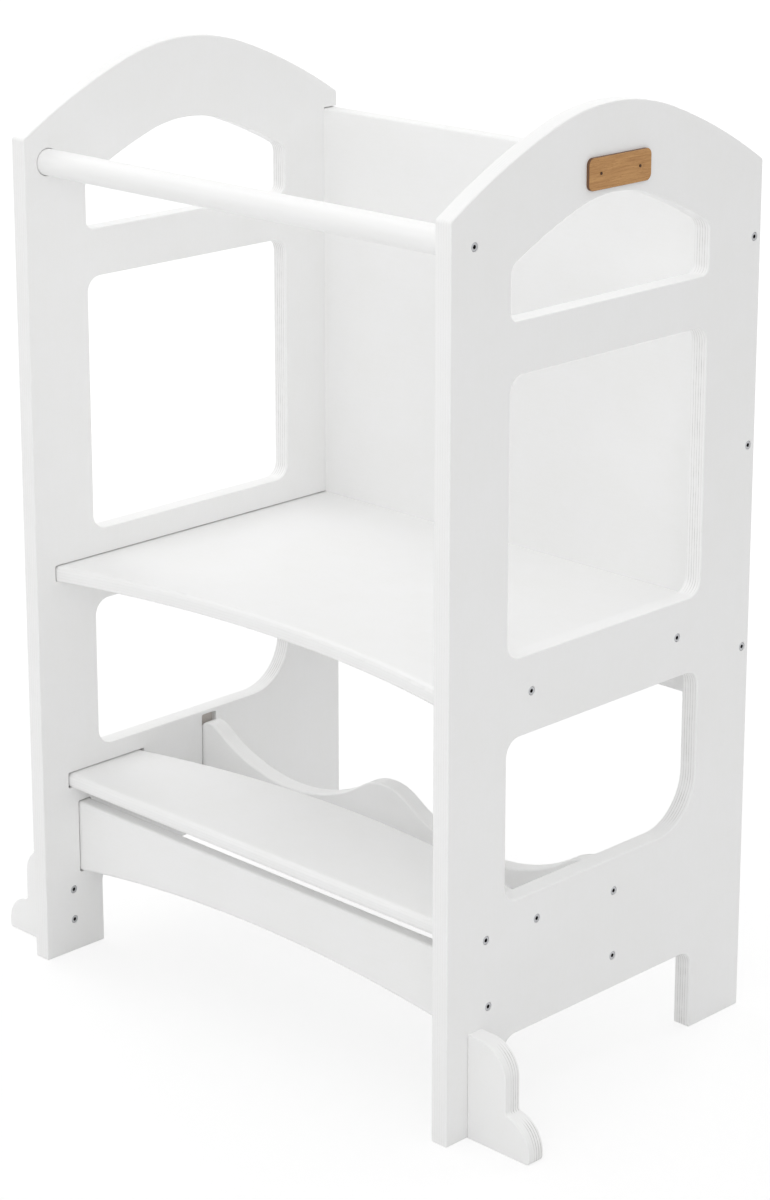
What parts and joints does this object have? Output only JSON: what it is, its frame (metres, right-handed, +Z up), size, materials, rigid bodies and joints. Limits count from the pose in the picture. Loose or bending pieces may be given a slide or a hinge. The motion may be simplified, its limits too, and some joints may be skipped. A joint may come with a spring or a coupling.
{
  "type": "toddler kitchen helper stool",
  "caption": "Free-standing toddler's kitchen helper stool: arched plywood sides around a swept platform and step, with a back panel, round grab bar, wavy lower rail and outrigger feet.",
  "frame": {"origin": "on the floor, under the middle of the sides: the centre of the base of the bounding box", "axes": "+Z up, +Y towards the back panel, +X towards the side with the label plate; the child climbs in from -Y"},
  "size_m": [0.7014, 0.4, 0.888],
  "materials": {
    "white_ply": "satin white water-based paint on birch plywood",
    "white_beech": "satin white paint on turned beech",
    "oak_label": "clear-oiled oak",
    "screw_steel": "zinc-plated steel",
    "dark_bronze": "darkened"
  },
  "bodies": {
    "root": {"side_panel_left": "white_ply", "side_panel_right": "white_ply", "back_panel": "white_ply", "platform": "white_ply", "step_board": "white_ply", "front_apron": "white_ply", "wave_rail": "white_ply", "stabiliser_foot_left": "white_ply", "stabiliser_foot_right": "white_ply", "grab_bar": "white_beech", "label_plate": "oak_label", "label_pins": "dark_bronze", "bar_screw_left": "screw_steel", "bar_screw_right": "screw_steel", "back_panel_screws_left": "screw_steel", "back_panel_screws_right": "screw_steel", "platform_screws_left": "screw_steel", "platform_screws_right": "screw_steel", "step_screws_left": "screw_steel", "step_screws_right": "screw_steel", "apron_screw_left": "screw_steel", "apron_screw_right": "screw_steel", "wave_rail_screws_left": "screw_steel", "wave_rail_screws_right": "screw_steel", "foot_screws_left": "screw_steel", "foot_screws_right": "screw_steel"}
  },
  "joints": []
}
